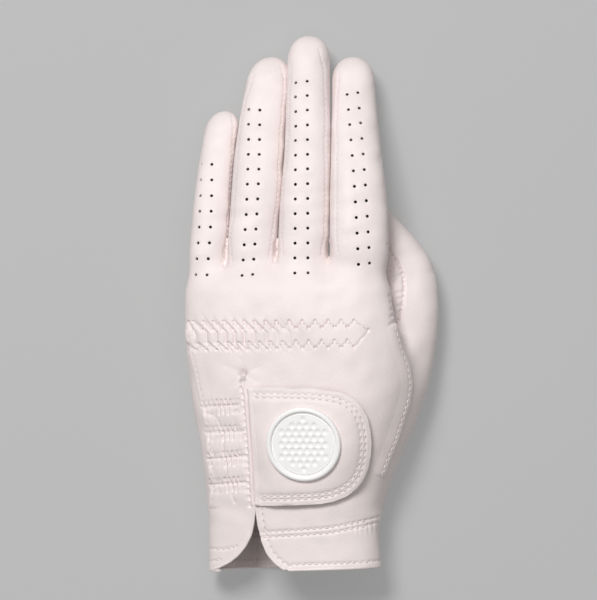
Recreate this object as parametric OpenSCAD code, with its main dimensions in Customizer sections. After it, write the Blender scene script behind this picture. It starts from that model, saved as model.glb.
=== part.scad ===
// Left-hand golf glove, palm down, fingers along +Y, thumb towards +X, back of the hand up.
// The origin is at the middle of the glove's outline, on the surface that it rests on.

/* [Leather] */
// Thickness of the glove leather
leather_t = 0.8; // [0.6:0.1:1]
// Thickness of elastic tapes and of the fabric facing
tape_t = 0.7; // [0.5:0.1:0.9]

/* [Hand] */
// Sideways tilt of the hand, with the index finger's side higher
roll = 10; // [8:1:12]
// Squareness of the hand's cross-section, where 2 is an ellipse
squareness = 2.4; // [2:0.1:2.8]

/* [Fingers] */
// Half-length of the soft stretch at a finger's middle knuckle
crease_half = 7.2; // [6.5:0.1:7.5]
// Angle from the top of a finger to its fourchette seam
seam_angle = 65; // [55:1:70]

/* [Closure tab] */
// Height of the loop patch over the back
loop_lift = 0.5; // [0.4:0.1:0.6]
// Thickness of the tab's outer leather
tab_t = 1; // [0.8:0.1:1.2]
// Radius of the round badge
badge_r = 16; // [14:0.5:17]

/* [Cuff] */
// Radius of the rolled binding along the slit's edges
binding_r = 0.8; // [0.6:0.1:0.9]
// Gap between a panel's edge and its binding
binding_gap = 0.3; // [0.2:0.05:0.4]

/* [Hidden] */

blush = [0.93, 0.88, 0.87];
blush_side = [0.90, 0.85, 0.84];
lining_grey = [0.66, 0.61, 0.60];
elastic_white = [0.88, 0.86, 0.85];
badge_white = [0.97, 0.97, 0.95];

// Cross-sections of the hand from the cuff to the finger roots:
// y, left edge, right edge, height of the middle, half thickness
STATIONS = [
    [-116, -44, 31.5, 17.4, 15.7],
    [-94, -44.2, 29.2, 18.6, 16.5],
    [-75, -45.2, 32.5, 21, 17.5],
    [-59, -47.2, 38, 23.5, 18],
    [-43, -49.8, 43.2, 26, 18],
    [-27, -52.5, 43, 28, 17],
    [-10, -54.8, 37.8, 30, 15.5],
    [8, -53.8, 35.2, 30.5, 14.3],
    [20, -52.6, 34.9, 30, 13]
];
SECTION_POINTS = 40;
web_t = 0.8;
over = 1;

// Each finger: root, middle knuckle, centre of the round tip, then the radius at each
LITTLE = [[-44.2, 22.2, 23.6], [-41.9, 40.3, 22], [-38.2, 75.8, 9.2], 7.8, 7.5, 7.1];
RING = [[-25.4, 22.2, 26.8], [-22.9, 52.6, 25], [-18.6, 98.2, 10.4], 9.6, 9.4, 8.7];
MIDDLE = [[-3.3, 22.2, 31], [-1.9, 56.5, 29.6], [-0.6, 107, 12], 9.9, 9.5, 9];
INDEX = [[21.9, 22.2, 35.2], [20.4, 54, 32.6], [18.7, 97.9, 13], 10.7, 10, 9];
FINGERS = [LITTLE, RING, MIDDLE, INDEX];

// The thumb: where it leaves the hand, its knuckle, and the centre of its round tip
THUMB = [[33, -54, 12.9], [45, 5, 11.2], [26.2, 33, 10.2]];
thumb_root_r = 12.4;
thumb_knuckle_r = 10;
thumb_tip_r = 8.8;

// Directions round a finger, seen from its root: the back, the front and the two sides
BACK = 270;
FRONT = 90;
LEFT = 180;
RIGHT = 360;

// Outline of the slit's two edges, from its top to the cuff
SLIT_LEFT = [
    [-28.2, -32], [-27, -40], [-26.2, -52], [-25, -66], [-24.2, -80], [-24, -90],
    [-25.7, -100], [-28.2, -105], [-32, -109.5], [-37, -113]
];
SLIT_RIGHT = [
    [-26.4, -32], [-24, -38], [-22.4, -46], [-21.2, -60], [-20.4, -75], [-20.2, -88],
    [-19.4, -102], [-17.4, -108], [-14, -112.2], [-9, -115]
];
// Outline of the closure tab: distance along the hand, root edge, free edge
TAB_ROWS = [
    [-87.2, -21.9, 8], [-86, -21.9, 15], [-83, -21.9, 20.6], [-79, -22, 23.8],
    [-74, -22.2, 25.4], [-68, -22.6, 26.1], [-61.5, -23.1, 26.3], [-55, -23.6, 26],
    [-49, -24, 24.8], [-44, -24.4, 22], [-40.6, -24.7, 18.4], [-38, -24.9, 13], [-36, -25.1, 4]
];
PATCH_ROWS = [[-79, -14, 17], [-70, -14, 19], [-61, -14, 19.5], [-52, -14, 19], [-44, -14, 17]];
BADGE_CENTRE = [-2.7, -60.2];
lining_lift = loop_lift + 2.1;

// ---- the hand's cross-section ----

function between(y, i = 0) =
    i >= len(STATIONS) - 2 || y <= STATIONS[i + 1][0] ? i : between(y, i + 1);

function station(y) =
    let (i = between(y), a = STATIONS[i], b = STATIONS[i + 1])
    a + (b - a) * (y - a[0]) / (b[0] - a[0]);

function section_x(s) = (s[1] + s[2]) / 2;
function section_a(s, grow) = (s[2] - s[1]) / 2 + grow;
function signed_pow(v, p) = sign(v) * pow(abs(v), p);

function rolled(s, u, v) =
    [section_x(s) + u * cos(roll) - v * sin(roll), s[3] + u * sin(roll) + v * cos(roll)];

function section_points(s, grow, from, to) = [
    for (k = [0 : SECTION_POINTS])
    let (a = from + (to - from) * k / SECTION_POINTS)
    rolled(
        s,
        section_a(s, grow) * signed_pow(cos(a), 2 / squareness),
        (s[4] + grow) * signed_pow(sin(a), 2 / squareness)
    )
];

// Height over the middle of a section's outer face, at u along the section
function rise(s, u) =
    s[4] * pow(max(0, 1 - pow(abs(u) / section_a(s, 0), squareness)), 1 / squareness);

function along_section(s, x, side, steps = 6, u = 0) =
    steps == 0 ? u : along_section(
        s, x, side, steps - 1, (x - section_x(s) + side * rise(s, u) * sin(roll)) / cos(roll)
    );

// Height of the back's outer face
function back_z(x, y) =
    let (s = station(y), u = along_section(s, x, 1))
    s[3] + u * sin(roll) + rise(s, u) * cos(roll);

// Closes a loft between rings of n + 1 points. A ring runs along the outer face
// and the next one back along the inner face, so every ring here is a closed loop
module loft(rings) {
    n = len(rings[0]);
    m = len(rings);
    sides = [
        for (i = [0 : m - 2], k = [0 : n - 1])
        let (a = i * n + k, b = i * n + (k + 1) % n, c = b + n, d = a + n)
        each [[a, b, c], [a, c, d]]
    ];
    // Each ring is made of pairs across the wall, so its cap is a row of quads
    half = n / 2;
    caps = [
        for (k = [0 : half - 2])
        let (a = k, b = k + 1, c = n - 2 - k, d = n - 1 - k, t = (m - 1) * n)
        each [[a, c, b], [a, d, c], [t + a, t + b, t + c], [t + a, t + c, t + d]]
    ];
    polyhedron(points = [for (ring = rings) each ring], faces = concat(sides, caps));
}

function shell_ring(s, y, outer, inner, from, to) = concat(
    [for (p = section_points(s, outer, from, to)) [p[0], y, p[1]]],
    [for (p = section_points(s, inner, to, from)) [p[0], y, p[1]]]
);

// Leather of the hand between two directions round its cross-section
module hand_shell(from, to) {
    loft([for (s = STATIONS) shell_ring(s, s[0], 0, -leather_t, from, to)]);
}

// The room inside the hand's outer face, grown by a margin
module hand_solid(grow) {
    loft([for (s = STATIONS) shell_ring(s, s[0], grow, 2 - s[4], 0.5, 359.5)]);
}

// Solid of the thumb's lower part, from inside the hand to its open end
module thumb_solid(grow, beyond = 0) {
    full = norm(THUMB[1] - THUMB[0]);
    reach = full - crease_half + beyond;
    end_r = thumb_root_r + (thumb_knuckle_r - thumb_root_r) * reach / full;
    point_along(THUMB[0], THUMB[1]) {
        sphere(thumb_root_r + grow, $fn = 48);
        cylinder(r1 = thumb_root_r + grow, r2 = end_r + grow, h = reach, $fn = 48);
    }
}

// A band that lies on the inner face of the hand, between two distances along it
module inner_band(y0, y1, from, to, gap, thick) {
    loft([
        for (y = [y0, y1])
        shell_ring(station(y), y, -leather_t - gap, -leather_t - gap - thick, from, to)
    ]);
}

// ---- sheets that follow the back ----

function sheet_point(row, k, n, lift) =
    let (x = row[1] + (row[2] - row[1]) * k / n)
    [x, row[0], back_z(x, row[0]) + lift];

function grid_faces(rows, n, flip) = [
    for (i = [0 : rows - 2], k = [0 : n - 1])
    let (a = i * (n + 1) + k, b = a + 1, c = a + n + 2, d = a + n + 1)
    each flip ? [[a, b, c], [a, c, d]] : [[a, c, b], [a, d, c]]
];

// A sheet between two heights over the back. Each row is y, left edge, right edge
module back_sheet(rows, low, high, n = 12) {
    m = len(rows);
    points = concat(
        [for (row = rows, k = [0 : n]) sheet_point(row, k, n, high)],
        [for (row = rows, k = [0 : n]) sheet_point(row, k, n, low)]
    );
    rim = concat(
        [for (k = [0 : n]) k],
        [for (i = [1 : m - 1]) i * (n + 1) + n],
        [for (k = [n - 1 : -1 : 0]) (m - 1) * (n + 1) + k],
        [for (i = [m - 2 : -1 : 1]) i * (n + 1)]
    );
    shift = m * (n + 1);
    walls = [
        for (j = [0 : len(rim) - 1])
        let (p = rim[j], q = rim[(j + 1) % len(rim)])
        each [[p, p + shift, q + shift], [p, q + shift, q]]
    ];
    top = grid_faces(m, n, false);
    bottom = [for (f = grid_faces(m, n, true)) [f[0] + shift, f[1] + shift, f[2] + shift]];
    polyhedron(points = points, faces = concat(top, bottom, [for (w = walls) [w[0], w[2], w[1]]]));
}

// ---- fingers ----

// Puts +Z of the children along the line from p to q, with -Y towards the back of the hand
module point_along(p, q) {
    d = q - p;
    translate(p)
        rotate([-90 - asin(-d[2] / norm(d)), 0, -atan2(d[0], d[1])])
            children();
}

module tube_sector(length, r0, r1, from, to) {
    rotate_extrude(start = from, angle = to - from, $fn = 64)
        polygon([[r0 - leather_t, 0], [r0, 0], [r1, length], [r1 - leather_t, length]]);
}

module capped_sector(length, r0, r1, from, to) {
    arc_steps = 8;
    rotate_extrude(start = from, angle = to - from, $fn = 64)
        polygon(concat(
            [[r0 - leather_t, 0], [r0, 0]],
            [for (k = [0 : arc_steps]) let (a = 90 * k / arc_steps) [r1 * cos(a), length + r1 * sin(a)]],
            [for (k = [arc_steps : -1 : 0]) let (a = 90 * k / arc_steps)
                [(r1 - leather_t) * cos(a), length + (r1 - leather_t) * sin(a)]]
        ));
}

function on_line(p, q, length) = p + (q - p) * length / norm(q - p);

// Sector of a finger's lower part, which belongs to the hand
module base_sector(f, from, to) {
    length = norm(f[1] - f[0]) - crease_half;
    point_along(f[0], f[1])
        tube_sector(length, f[3], f[4], from, to);
}

// Sector of a finger's outer part, which bends
module tip_sector(f, from, to) {
    point_along(on_line(f[1], f[2], crease_half), f[2])
        capped_sector(norm(f[2] - f[1]) - crease_half, f[4], f[5], from, to);
}

// Soft sleeve that fills a bend: the points before, at and after it, the radius of the
// tubes it joins and how far inside them its ends slip. Its middle is flush with them
module crease(p, bend, q, r, slip) {
    before = on_line(bend, p, crease_half);
    after = on_line(bend, q, crease_half);
    half = norm(after - before) / 2;
    tilt = acos(half / crease_half);
    shoulder = half - r * sin(tilt) - 0.4;
    reach = half + 1.5;
    outer = [
        [r - slip, -reach], [r - slip, -shoulder], [r - 0.1, -shoulder + 1.2],
        [r - 0.1, shoulder - 1.2], [r - slip, shoulder], [r - slip, reach]
    ];
    inner = [for (k = [5 : -1 : 0]) outer[k] - [leather_t, 0]];
    point_along((before + after) / 2, after)
        rotate_extrude($fn = 64) polygon(concat(outer, inner));
}

module finger_crease(f) {
    crease(f[0], f[1], f[2], f[4], leather_t + 0.9);
}

// ---- nodes of the hand ----

module slit_cut() {
    translate([0, 0, station(-60)[3]])
        linear_extrude(height = 60)
            polygon(concat(
                SLIT_LEFT,
                [[-44.4, -115.5], [-60, -117], [-60, -119], [-4, -119], [-4, -115.8]],
                [for (i = [len(SLIT_RIGHT) - 1 : -1 : 0]) SLIT_RIGHT[i]]
            ));
}

// Leather between the finger roots, which closes the end of the hand
module crotch_web() {
    y = STATIONS[len(STATIONS) - 1][0];
    color(blush_side)
    difference() {
        translate([0, y + web_t, 0])
            rotate([90, 0, 0])
                linear_extrude(height = web_t)
                    polygon([for (k = [0 : 79])
                        section_points(STATIONS[len(STATIONS) - 1], 0, 0, 360 * k / 79 + 0.001)[SECTION_POINTS]]);
        for (f = FINGERS)
            translate([f[0][0], y + web_t + over, f[0][2]])
                rotate([90, 0, 0])
                    cylinder(r = f[3] - leather_t, h = web_t + 2 * over, $fn = 48);
    }
}

module back_panel() {
    color(blush)
    difference() {
        hand_shell(0, 180);
        slit_cut();
    }
}

module palm_panel() {
    color(blush_side)
    difference() {
        hand_shell(180, 360);
        thumb_solid(-leather_t, over);
    }
}

module thumb_root() {
    color(blush)
    difference() {
        thumb_solid(0);
        thumb_solid(-leather_t, over);
        hand_solid(0.05);
    }
}

module cuff_facing() {
    color(lining_grey) inner_band(-115.5, -99, 190, 350, 0.2, tape_t);
}

module wrist_elastic() {
    color(elastic_white) inner_band(-97, -89, 200, 340, 0.3, tape_t);
}

module knuckle_elastic() {
    color(elastic_white)
        back_sheet([[-19, -46, 20], [-14, -46, 22], [-9, -46, 20]],
            -leather_t - 0.9 - tape_t, -leather_t - 0.9, 16);
}

module side_elastics() {
    row_gap = 11.4;
    tape_w = 4;
    color(elastic_white)
    for (k = [0 : 3]) {
        y = -44.3 - row_gap * k;
        back_sheet([[y - tape_w / 2, -40, -28.8], [y + tape_w / 2, -40, -28.8]],
            -leather_t - 1.4 - tape_t, -leather_t - 1.4, 6);
    }
}

// Rolled edge beside part of a line over the back; the line runs towards the cuff
module rolled_edge(line, first, side, left_off = 0) {
    for (i = [first : len(line) - 2 - left_off])
        let (run = line[i + 1] - line[i], away = [-run[1], run[0]] / norm(run) * side)
        hull() for (end = [line[i], line[i + 1]])
            let (p = end + away * (binding_r + binding_gap))
            translate([p[0], p[1], back_z(p[0], p[1]) - 0.5])
                sphere(binding_r, $fn = 12);
}

module slit_binding_left() {
    color(blush) rolled_edge(SLIT_LEFT, 5, 1, 1);
}

module slit_binding_right() {
    color(blush) rolled_edge(SLIT_RIGHT, 2, -1);
}

module slit_bar_tack() {
    color(blush)
        back_sheet([[-31, -30, -25.4], [-29.6, -30, -25.4]], 0.4, 1.1, 3);
}

module loop_patch() {
    color(elastic_white) back_sheet(PATCH_ROWS, loop_lift, loop_lift + 0.8, 10);
}

// The two strips between neighbouring fingers, which meet at the crotch
module fourchette(a, b) {
    color(blush_side) {
        base_sector(a, -90 + seam_angle, 90 - seam_angle);
        base_sector(b, 90 + seam_angle, 270 - seam_angle);
    }
}

module thumb_crease() {
    color(blush_side)
        crease(THUMB[0], THUMB[1], THUMB[2], thumb_knuckle_r, leather_t + 1.6);
}

module thumb_sector(from, to) {
    color(blush)
    point_along(on_line(THUMB[1], THUMB[2], crease_half), THUMB[2])
        capped_sector(
            norm(THUMB[2] - THUMB[1]) - crease_half, thumb_knuckle_r, thumb_tip_r, from, to
        );
}

// ---- nodes of the closure tab ----

module tab_shell() {
    color(blush)
        back_sheet(TAB_ROWS, lining_lift + 0.6, lining_lift + 0.6 + tab_t, 14);
}

// Soft strip from under the slit's left edge, up through the slit to the tab's root
module tab_root() {
    under = leather_t + 0.35;
    strip_t = 0.8;
    color(blush_side)
    loft([
        for (row = TAB_ROWS)
        let (x = row[1] - 1.2, y = row[0], z = back_z(x, y))
        [
            [x - 5, y, back_z(x - 5, y) - under], [x - 0.9, y, back_z(x - 0.9, y) - under],
            [x - 0.3, y, z + lining_lift], [x + 0.2, y, z + lining_lift + 1.4],
            [x + 0.9, y, z + lining_lift + 1.4], [x + 0.5, y, z + lining_lift - 0.4],
            [x - 0.2, y, z - under - strip_t], [x - 5, y, back_z(x - 5, y) - under - strip_t]
        ]
    ]);
}

module tab_lining() {
    color(blush_side) back_sheet(TAB_ROWS, lining_lift, lining_lift + 0.6, 14);
}

module hook_patch() {
    color(elastic_white)
        back_sheet(PATCH_ROWS, loop_lift + 1.15, loop_lift + 1.95, 10);
}

// Puts the children on the tab at the badge's place, square to the tab
module on_tab() {
    x = BADGE_CENTRE[0];
    y = BADGE_CENTRE[1];
    step = 2;
    slope_x = (back_z(x + step, y) - back_z(x - step, y)) / (2 * step);
    slope_y = (back_z(x, y + step) - back_z(x, y - step)) / (2 * step);
    translate([x, y, back_z(x, y) + lining_lift + 0.6 + tab_t + 0.15])
        rotate([atan(slope_y), -atan(slope_x), 0])
            children();
}

badge_base_t = 0.8;
badge_rim_w = 2.4;
badge_rim_t = 1.4;
badge_disc_t = 0.8;

module badge_base() {
    color(badge_white) on_tab() cylinder(r = badge_r, h = badge_base_t, $fn = 96);
}

module badge_rim() {
    color(badge_white)
    on_tab()
        translate([0, 0, badge_base_t])
            difference() {
                cylinder(r = badge_r, h = badge_rim_t, $fn = 96);
                translate([0, 0, -over])
                    cylinder(r = badge_r - badge_rim_w, h = badge_rim_t + 2 * over, $fn = 96);
            }
}

module badge_disc() {
    color(badge_white)
    on_tab()
        translate([0, 0, badge_base_t])
            cylinder(r = badge_r - badge_rim_w - 0.2, h = badge_disc_t, $fn = 96);
}

// ---- what each node draws ----

back_panel();
palm_panel();
thumb_root();
cuff_facing();
wrist_elastic();
knuckle_elastic();
side_elastics();
crotch_web();
slit_binding_left();
slit_binding_right();
slit_bar_tack();
loop_patch();
fourchette(LITTLE, RING);  // fourchette_little_ring
fourchette(RING, MIDDLE);  // fourchette_ring_middle
fourchette(MIDDLE, INDEX);  // fourchette_middle_index
thumb_crease();
thumb_sector(LEFT, RIGHT);  // thumb_tip_back
thumb_sector(0, LEFT);  // thumb_tip_front
tab_root();
tab_shell();
tab_lining();
hook_patch();
badge_base();
badge_rim();
badge_disc();

// Each finger's name, shape, and whether it has a neighbour on its left and on its right
FINGER_NODES = [
    ["little", LITTLE, false, true], ["ring", RING, true, true],
    ["middle", MIDDLE, true, true], ["index", INDEX, true, false]
];
for (named = FINGER_NODES) {
    name = named[0];
    f = named[1];
    back_from = named[2] ? BACK - seam_angle : LEFT;
    back_to = named[3] ? BACK + seam_angle : RIGHT;
    front_from = named[3] ? FRONT - seam_angle : 0;
    front_to = named[2] ? FRONT + seam_angle : LEFT;
    sides = str(name, named[2] && named[3] ? "_tip_fourchettes" : "_tip_fourchette");
    color(blush) base_sector(f, back_from, back_to);
    color(blush_side) base_sector(f, front_from, front_to);
    color(blush_side) finger_crease(f);
    color(blush) tip_sector(f, back_from, back_to);
    color(blush_side) tip_sector(f, front_from, front_to);
    color(blush_side) {
        if (named[3]) tip_sector(f, back_to, RIGHT + front_from);
        if (named[2]) tip_sector(f, front_to, back_from);
    }
}
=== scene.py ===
"""Visual model of a left-hand golf glove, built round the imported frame. Lengths are in mm until a mesh is
made. The glove lies back up: +Y to the fingertips, +X to the thumb."""

import math

import bmesh
import bpy
import numpy as np
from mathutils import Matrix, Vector


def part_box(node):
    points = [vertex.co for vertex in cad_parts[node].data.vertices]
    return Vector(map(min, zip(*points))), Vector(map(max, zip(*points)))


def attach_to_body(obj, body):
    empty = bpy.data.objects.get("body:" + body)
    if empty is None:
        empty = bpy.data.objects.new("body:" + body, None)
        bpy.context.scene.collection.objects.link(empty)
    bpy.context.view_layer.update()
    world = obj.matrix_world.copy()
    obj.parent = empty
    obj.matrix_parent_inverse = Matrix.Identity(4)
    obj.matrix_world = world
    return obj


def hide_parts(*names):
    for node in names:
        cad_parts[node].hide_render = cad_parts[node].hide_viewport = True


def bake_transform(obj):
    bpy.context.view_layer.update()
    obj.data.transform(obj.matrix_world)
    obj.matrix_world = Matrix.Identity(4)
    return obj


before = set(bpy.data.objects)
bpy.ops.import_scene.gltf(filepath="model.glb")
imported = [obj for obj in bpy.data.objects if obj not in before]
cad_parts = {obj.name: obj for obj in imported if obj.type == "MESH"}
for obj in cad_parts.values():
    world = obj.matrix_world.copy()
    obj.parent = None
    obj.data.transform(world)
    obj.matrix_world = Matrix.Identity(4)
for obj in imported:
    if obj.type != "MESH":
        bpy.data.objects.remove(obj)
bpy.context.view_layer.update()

MM = 0.001

# ---------------------------------------------------------------- curves


def curve(points, blur=5.0):
    """A smooth function near (y, value) pairs, straight beyond both ends. The blur is in mm."""
    ys, vs = np.array(points, float).T
    fine = np.arange(ys[0] - 30, ys[-1] + 30, 0.5)
    slope0 = (vs[1] - vs[0]) / (ys[1] - ys[0])
    slope1 = (vs[-1] - vs[-2]) / (ys[-1] - ys[-2])
    level = np.interp(fine, ys, vs)
    level = np.where(fine < ys[0], vs[0] + slope0 * (fine - ys[0]), level)
    level = np.where(fine > ys[-1], vs[-1] + slope1 * (fine - ys[-1]), level)
    kernel = np.exp(-0.5 * (np.arange(-30, 31) * 0.5 / blur) ** 2)
    smooth = np.convolve(np.pad(level, 30, mode="edge"), kernel / kernel.sum(), "valid")
    return lambda y: np.interp(y, fine, smooth)


# ---------------------------------------------------------------- the hand's shape

ROLL = math.radians(10)
SQUARENESS = 2.4
HAND_LEFT = curve(
    [(-125, -44.2), (-111, -43.9), (-94, -44.1), (-85, -44.7), (-63.5, -47.2), (-42, -51.3),
     (-24.6, -53.4), (-11.7, -54.5), (0, -54.4), (16, -52.6), (24, -52)], 4)
HAND_RIGHT = curve(
    [(-125, 32), (-111, 31.2), (-94, 29.2), (-85, 30), (-76, 31.5), (-66, 35.5), (-59, 38),
     (-50, 40.5), (-43, 43), (-35, 44.4), (-27, 43.4), (-20, 40.8), (-12, 37.9), (1, 35.4),
     (14, 34.6), (24, 34)], 4)
HAND_MID = curve(
    [(-125, 17.2), (-94, 18.4), (-75, 21), (-59, 23.5), (-43, 26), (-27, 28), (-10, 30),
     (8, 30.5), (20, 30)], 8)
HAND_HALF = curve(
    [(-125, 15.6), (-94, 16.4), (-75, 17.4), (-59, 18), (-43, 18), (-27, 17), (-10, 15.4),
     (8, 13.6), (20, 11.6)], 8)
HAND_FRONT = 15.0
# The thumb's side of the hand falls away near the wrist
SAG_FROM = 17.0
SAG = curve(
    [(-125, 0.004), (-95, 0.007), (-75, 0.0125), (-50, 0.0125), (-30, 0.007), (-12, 0), (20, 0)], 4)
FINGER_BLEND = 6.5

# Fingers: centre line in plan, height, half width, half depth, and where the tip ends
FINGERS = {
    "little": dict(
        x=[(-12, -44), (16, -44.4), (44.5, -42.3), (64, -40.2), (76, -38.2), (84, -37)],
        z=[(-12, 22), (6, 23.4), (22, 23.4), (40, 21.6), (60, 14.6), (76, 8.8), (84, 7)],
        w=[(-12, 3), (2, 6.2), (16, 8.3), (44, 8.0), (64, 7.6), (84, 7.1)],
        d=[(-12, 3), (2, 5.5), (18, 8.0), (44, 7.7), (84, 7.0)], tip=83.4),
    "ring": dict(
        x=[(-12, -26.4), (22, -25.1), (64, -21.9), (88, -19.5), (99, -17.6), (107, -16.6)],
        z=[(-12, 25), (6, 26.6), (22, 26.4), (52, 24), (76, 16.5), (98, 9.6), (107, 8)],
        w=[(-12, 5), (4, 9), (20, 10.7), (64, 10.9), (88, 9.8), (107, 8.9)],
        d=[(-12, 3), (2, 7.5), (20, 9.9), (60, 9.4), (107, 8.4)], tip=107.1),
    "middle": dict(
        x=[(-12, -4.4), (22, -3.0), (44, -2.2), (64, -1.0), (98, -0.7), (116, -0.4)],
        z=[(-12, 29), (6, 30.8), (22, 31.2), (56, 29.3), (84, 20.2), (107, 12), (116, 10)],
        w=[(-12, 5), (4, 9), (20, 10.9), (44, 10.8), (64, 10), (88, 9.5), (116, 9)],
        d=[(-12, 3), (2, 7.5), (20, 10.2), (60, 9.6), (116, 8.8)], tip=116.2),
    "index": dict(
        x=[(-12, 19), (2, 20.4), (24, 21.3), (44, 20.8), (64, 19.9), (88, 19.1), (107, 18.7)],
        z=[(-12, 32), (6, 34.4), (22, 35.2), (54, 32.4), (76, 23.2), (98, 13), (107, 10.5)],
        w=[(-12, 4), (4, 9.6), (20, 12.8), (44, 12.4), (64, 10.9), (88, 9.5), (107, 9)],
        d=[(-12, 3), (2, 7.5), (20, 10.8), (60, 10), (107, 8.8)], tip=107.0),
}
for shape in FINGERS.values():
    for part in "xzwd":
        shape[part] = curve(shape[part])
FINGER_START = -14.0
FINGER_SQUARENESS = 2.6
TIP_POWER = 2.15
TIP_CAP = {"little": 8.6, "ring": 10.6, "middle": 10.8, "index": 10.8}


def smooth_path(points, count, passes):
    """Evenly spaced points on a smooth path near the given ones, which may carry a radius."""
    points = np.array(points, float)
    length = np.r_[0, np.cumsum(np.linalg.norm(np.diff(points[:, :3], axis=0), axis=1))]
    t = np.linspace(0, length[-1], count)
    path = np.stack([np.interp(t, length, c) for c in points.T], 1)
    for _ in range(passes):
        path[1:-1] += 0.5 * ((path[:-2] + path[2:]) / 2 - path[1:-1])
    return path


# Thumb: chain of round links (x, y, z, radius) and the join with the hand
THUMB = smooth_path([
    (22, -86, 13, 5.5), (26.8, -67, 14, 9), (33, -50, 14, 11.2), (39.4, -33, 13.6, 12.4),
    (43.8, -14, 12.8, 11.8), (45.4, 2, 12, 10.6), (45.2, 13.4, 11.4, 9.9), (36.6, 25.2, 10.8, 9.1),
    (27.6, 34.2, 10.2, 8.9),
], 34, 4)
THUMB_JOIN = curve([(-60, 14), (-22, 12), (-14, 8), (-9, 3), (-6, 0.05), (30, 0.05)], 1.2)


def smooth_min(a, b, k):
    h = np.maximum(k - np.abs(a - b), 0) / k
    return np.minimum(a, b) - h * h * k * 0.25


def rounded(u, v, w, a, b, c, p, q):
    """Rough distance to a superellipsoid tube with half sizes a, b and a cap of length c. The power p squares
    its section and the power q squares its cap."""
    un, vn, wn = np.abs(u) / a, np.abs(v) / b, np.maximum(w, 0) / c
    r = np.maximum(un**p + vn**p, 1e-6) ** (1 / p)
    k = np.maximum(r**q + wn**q, 1e-6) ** (1 / q)
    side = (r / k) ** (q - 1) * r ** (1 - p)
    slope = np.sqrt((side * un ** (p - 1) / a) ** 2 + (side * vn ** (p - 1) / b) ** 2
                    + ((wn / k) ** (q - 1) / c) ** 2)
    return np.maximum((k - 1) / np.maximum(slope, 0.02), -14)


def hand_field(x, y, z):
    left, right = HAND_LEFT(y), HAND_RIGHT(y)
    sag = SAG(y) * np.maximum(x - SAG_FROM, 0) ** 2
    du, dv = x - (left + right) / 2, z + sag - HAND_MID(y)
    u = du * math.cos(ROLL) + dv * math.sin(ROLL)
    v = -du * math.sin(ROLL) + dv * math.cos(ROLL)
    past = y - HAND_FRONT + 12
    return rounded(u, v, past, (right - left) / 2, HAND_HALF(y), 14.0, SQUARENESS, SQUARENESS)


def finger_field(name, x, y, z):
    f = FINGERS[name]
    cap = TIP_CAP[name]
    wide, deep = np.maximum(f["w"](y), 1.5), np.maximum(f["d"](y), 1.5)
    sleeve = rounded(x - f["x"](y), z - f["z"](y), y - f["tip"] + cap, wide, deep, cap,
                     FINGER_SQUARENESS, TIP_POWER)
    return sleeve + np.maximum(FINGER_START - y, 0)


# Web of leather between the thumb and the palm's edge
WEB = smooth_path(
    [(40, -18, 17.5, 7.2), (37.6, -5, 18.4, 6.6), (37, 8, 17.6, 6.0), (35.4, 20, 15, 5.4)], 6, 2)


def chain(links, x, y, z):
    """Distance to a chain of round links."""
    best = None
    for a, b in zip(links, links[1:]):
        d = b - a
        t = ((x - a[0]) * d[0] + (y - a[1]) * d[1] + (z - a[2]) * d[2]) / (d[:3] @ d[:3])
        t = np.clip(t, 0, 1)
        off = (x - a[0] - t * d[0]) ** 2 + (y - a[1] - t * d[1]) ** 2 + (z - a[2] - t * d[2]) ** 2
        link = np.sqrt(off) - a[3] - t * d[3]
        best = link if best is None else np.minimum(best, link)
    return best


def thumb_field(x, y, z):
    return smooth_min(chain(THUMB, x, y, z), chain(WEB, x, y, z), 5.0)


def only_near(test, fn, x, y, z):
    """fn at the points of a list that pass the test in plan, and a far value elsewhere. It saves time."""
    if np.ndim(x) != 1 or np.ndim(z) != 1 or len(x) != len(z):
        return fn(x, y, z)
    chosen = test(x, y)
    out = np.full(len(x), 20.0)
    out[chosen] = fn(x[chosen], y[chosen], z[chosen])
    return out


def finger_near(name, x, y, z):
    centre = FINGERS[name]["x"]
    return only_near(lambda px, py: (py > FINGER_START - 4) & (np.abs(px - centre(py)) < 24),
                     lambda *p: finger_field(name, *p), x, y, z)


def hand_part(x, y, z):
    """Signed distance to the hand with its finger roots and the thumb's root."""
    fingers = np.minimum.reduce([finger_near(name, x, y, z) for name in FINGERS])
    body = smooth_min(hand_field(x, y, z), fingers, FINGER_BLEND)
    thumb = only_near(lambda px, py: (px > -2) & (py < 50) & (py > -110), thumb_field, x, y, z)
    return smooth_min(body, thumb, THUMB_JOIN(y))


def finger_part(name):
    """Signed distance to one finger with the hand behind it, as a function."""
    return lambda x, y, z: smooth_min(hand_field(x, y, z), finger_field(name, x, y, z), FINGER_BLEND)


# ---------------------------------------------------------------- surface extraction


def sampled(fn, axes, step):
    """Values of fn on a grid. Places far from the surface only get a rough value."""
    block = 8
    middles = [a[::block] + step * block / 2 for a in axes]
    rough = fn(middles[0][:, None, None], middles[1][None, :, None], middles[2][None, None, :])
    for axis, a in enumerate(axes):
        rough = np.repeat(rough, block, axis)
        rough = np.take(rough, np.arange(len(a)), axis)
    near = np.nonzero(np.abs(rough) < block * step * 1.4)
    rough[near] = fn(*(a[n] for a, n in zip(axes, near)))
    return rough


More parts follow.
